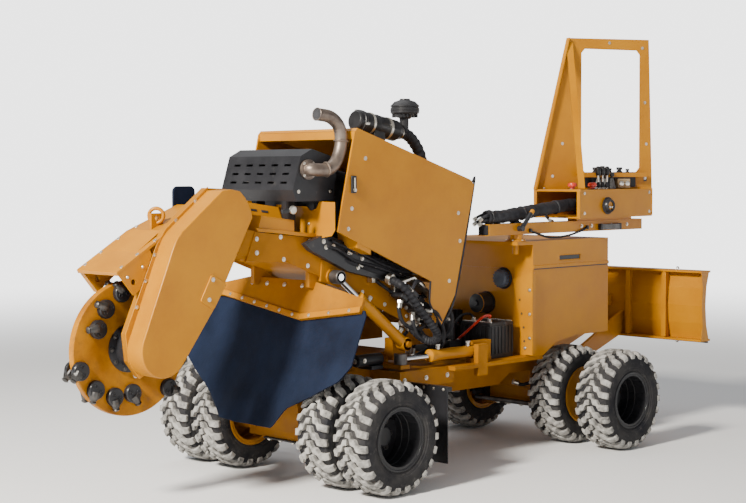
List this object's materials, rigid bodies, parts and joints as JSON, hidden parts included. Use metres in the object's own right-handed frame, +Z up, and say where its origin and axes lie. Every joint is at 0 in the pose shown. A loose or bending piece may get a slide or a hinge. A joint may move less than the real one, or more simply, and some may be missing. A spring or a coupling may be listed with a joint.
{
  "type": "stump grinder",
  "caption": "Wheeled self-propelled stump grinder: toothed cutter wheel on a swinging, lifting boom with engine, rear enclosure, swing-out control station and grading blade.",
  "frame": {"origin": "middle of the machine's length and width, on the ground", "axes": "+X runs from the cutter wheel to the blade, +Y from the control station's side to the far side, +Z up"},
  "size_m": [4.2586, 1.723, 2.454],
  "materials": {
    "yellow_paint": "satin",
    "black_paint": "satin",
    "tyre_rubber": "matt",
    "rubber": "matt",
    "dark_steel": "worn",
    "chrome": "polished",
    "engine_iron": "matt",
    "black_plastic": "satin",
    "red_plastic": "gloss"
  },
  "bodies": {
    "chassis": {"chassis_frame": "yellow_paint", "enclosure_body": "yellow_paint", "enclosure_lid": "yellow_paint", "battery": "black_plastic", "valve_block": "black_paint"},
    "turret": {"turret": "yellow_paint"},
    "boom": {"boom_frame": "yellow_paint", "belt_cover": "yellow_paint", "cutter_housing": "yellow_paint", "side_flap": "rubber", "engine_block": "engine_iron", "hood": "yellow_paint", "exhaust_pipe": "dark_steel", "muffler_guard": "yellow_paint", "air_cleaner": "black_paint", "precleaner": "black_plastic", "curtain_frame": "yellow_paint", "chip_curtain": "rubber", "boom_hose": "rubber", "drive_belt": "rubber"},
    "cutter": {"cutter_wheel": "dark_steel", "lower_pulley": "dark_steel"},
    "upper_pulley": {"upper_pulley": "dark_steel"},
    "lift_barrel": {"lift_cylinder_barrel": "yellow_paint"},
    "lift_rod": {"lift_cylinder_rod": "chrome"},
    "swing_barrel": {"swing_cylinder_barrel": "yellow_paint"},
    "swing_rod": {"swing_cylinder_rod": "chrome"},
    "knuckle_near": {"knuckle_near": "dark_steel"},
    "knuckle_far": {"knuckle_far": "dark_steel"},
    "tie_rod": {"tie_rod": "dark_steel"},
    "control_arm": {"control_arm": "yellow_paint", "control_box": "yellow_paint", "window_guard": "yellow_paint", "hose_sleeve": "rubber"},
    "lock_lever": {"lock_lever": "black_paint"},
    "stop_1": {"stop_button_1": "red_plastic"},
    "stop_2": {"stop_button_2": "red_plastic"},
    "lever_1": {"control_lever_1": "black_paint"},
    "lever_2": {"control_lever_2": "black_paint"},
    "lever_3": {"control_lever_3": "black_paint"},
    "blade": {"blade": "yellow_paint"},
    "blade_barrel": {"blade_cylinder_barrel": "yellow_paint"},
    "blade_rod": {"blade_cylinder_rod": "chrome"},
    "wheels_front_near": {"tyre_front_near_outer": "tyre_rubber", "tyre_front_near_inner": "tyre_rubber", "rim_front_near_outer": "black_paint", "rim_front_near_inner": "yellow_paint"},
    "wheels_front_far": {"tyre_front_far_outer": "tyre_rubber", "tyre_front_far_inner": "tyre_rubber", "rim_front_far_outer": "black_paint", "rim_front_far_inner": "yellow_paint"},
    "wheels_rear_near": {"tyre_rear_near_outer": "tyre_rubber", "tyre_rear_near_inner": "tyre_rubber", "rim_rear_near_outer": "black_paint", "rim_rear_near_inner": "yellow_paint"},
    "wheels_rear_far": {"tyre_rear_far_outer": "tyre_rubber", "tyre_rear_far_inner": "tyre_rubber", "rim_rear_far_outer": "black_paint", "rim_rear_far_inner": "yellow_paint"}
  },
  "joints": [
    {"name": "turret_swing", "type": "hinge", "parent": "chassis", "child": "turret", "pos_m": [-0.30068, 0, 0.5534], "axis": [0, 0, 1], "range_deg": [-20, 20]},
    {"name": "boom_lift", "type": "hinge", "parent": "turret", "child": "boom", "pos_m": [0.05933, 0, 0.8], "axis": [0, 1, 0], "range_deg": [-13, 8], "deforming": ["chip_curtain"]},
    {"name": "cutter_spin", "type": "hinge", "parent": "boom", "child": "cutter", "pos_m": [-1.79468, 0, 0.777], "axis": [0, 1, 0], "continuous": true},
    {"name": "upper_pulley_spin", "type": "hinge", "parent": "boom", "child": "upper_pulley", "pos_m": [-1.38068, 0, 1.416], "axis": [0, 1, 0], "continuous": true},
    {"name": "lift_barrel_tilt", "type": "hinge", "parent": "turret", "child": "lift_barrel", "pos_m": [-0.17167, -0.3, 0.689], "axis": [0, 1, 0], "range_deg": [-16, 10]},
    {"name": "lift_rod_slide", "type": "slide", "parent": "lift_barrel", "child": "lift_rod", "axis": [-0.7871, 0, 0.6168], "range_m": [-0.0505, 0.0315]},
    {"name": "swing_barrel_turn", "type": "hinge", "parent": "chassis", "child": "swing_barrel", "pos_m": [0.31933, -0.38, 0.618], "axis": [0, 0, 1], "range_deg": [-2.2, 2.2]},
    {"name": "swing_rod_slide", "type": "slide", "parent": "swing_barrel", "child": "swing_rod", "axis": [-0.9994, 0.0345, 0], "range_m": [-0.124, 0.124]},
    {"name": "knuckle_near_steer", "type": "hinge", "parent": "chassis", "child": "knuckle_near", "pos_m": [1.17433, -0.24, 0.292], "axis": [0, 0, 1], "range_deg": [-12, 12]},
    {"name": "knuckle_far_steer", "type": "hinge", "parent": "chassis", "child": "knuckle_far", "pos_m": [1.17433, 0.24, 0.292], "axis": [0, 0, 1], "range_deg": [-12, 12]},
    {"name": "tie_rod_slide", "type": "slide", "parent": "chassis", "child": "tie_rod", "axis": [0, 1, 0], "range_m": [-0.029, 0.029]},
    {"name": "wheels_front_near_spin", "type": "hinge", "parent": "chassis", "child": "wheels_front_near", "pos_m": [-0.72067, -0.5685, 0.292], "axis": [0, 1, 0], "continuous": true},
    {"name": "wheels_front_far_spin", "type": "hinge", "parent": "chassis", "child": "wheels_front_far", "pos_m": [-0.72067, 0.5685, 0.292], "axis": [0, 1, 0], "continuous": true},
    {"name": "wheels_rear_near_spin", "type": "hinge", "parent": "knuckle_near", "child": "wheels_rear_near", "pos_m": [1.17433, -0.572, 0.292], "axis": [0, 1, 0], "continuous": true},
    {"name": "wheels_rear_far_spin", "type": "hinge", "parent": "knuckle_far", "child": "wheels_rear_far", "pos_m": [1.17433, 0.572, 0.292], "axis": [0, 1, 0], "continuous": true},
    {"name": "control_arm_swing", "type": "hinge", "parent": "chassis", "child": "control_arm", "pos_m": [0.67932, -0.38, 1.265], "axis": [0, 0, 1], "range_deg": [-90, 0]},
    {"name": "lock_lever_turn", "type": "hinge", "parent": "control_arm", "child": "lock_lever", "pos_m": [0.65933, -0.442, 1.3], "axis": [0, 1, 0], "range_deg": [0, 40]},
    {"name": "stop_1_press", "type": "slide", "parent": "control_arm", "child": "stop_1", "axis": [0, 0, -1], "range_m": [0, 0.006], "stiffness_N_per_m": 600},
    {"name": "stop_2_press", "type": "slide", "parent": "control_arm", "child": "stop_2", "axis": [0, 0, -1], "range_m": [0, 0.006], "stiffness_N_per_m": 600},
    {"name": "lever_1_tilt", "type": "hinge", "parent": "control_arm", "child": "lever_1", "pos_m": [1.39932, -0.43, 1.484], "axis": [1, 0, 0], "range_deg": [-15, 15], "stiffness_Nm_per_rad": 1.5},
    {"name": "lever_2_tilt", "type": "hinge", "parent": "control_arm", "child": "lever_2", "pos_m": [1.44433, -0.43, 1.484], "axis": [1, 0, 0], "range_deg": [-15, 15], "stiffness_Nm_per_rad": 1.5},
    {"name": "lever_3_tilt", "type": "hinge", "parent": "control_arm", "child": "lever_3", "pos_m": [1.48933, -0.43, 1.484], "axis": [1, 0, 0], "range_deg": [-15, 15], "stiffness_Nm_per_rad": 1.5},
    {"name": "blade_lift", "type": "hinge", "parent": "chassis", "child": "blade", "pos_m": [1.27432, 0, 0.39], "axis": [0, 1, 0], "range_deg": [0, 38]},
    {"name": "blade_barrel_tilt", "type": "hinge", "parent": "chassis", "child": "blade_barrel", "pos_m": [1.41433, 0, 0.56], "axis": [0, 1, 0], "range_deg": [0, 47]},
    {"name": "blade_rod_slide", "type": "slide", "parent": "blade_barrel", "child": "blade_rod", "axis": [0.9344, 0, 0.3563], "range_m": [0, 0.107]}
  ],
  "couplings": [
    {"joint": "upper_pulley_spin", "follows": "cutter_spin", "ratio": 0.88},
    {"joint": "lift_barrel_tilt", "follows": "boom_lift", "ratio": 1.209},
    {"joint": "lift_rod_slide", "follows": "boom_lift", "m_per_rad": 0.2201},
    {"joint": "swing_barrel_turn", "follows": "turret_swing", "ratio": -0.1057},
    {"joint": "swing_rod_slide", "follows": "turret_swing", "m_per_rad": -0.3525},
    {"joint": "knuckle_far_steer", "follows": "knuckle_near_steer", "ratio": 1},
    {"joint": "tie_rod_slide", "follows": "knuckle_near_steer", "m_per_rad": -0.135},
    {"joint": "blade_barrel_tilt", "follows": "blade_lift", "ratio": 1.2205},
    {"joint": "blade_rod_slide", "follows": "blade_lift", "m_per_rad": 0.1593}
  ]
}
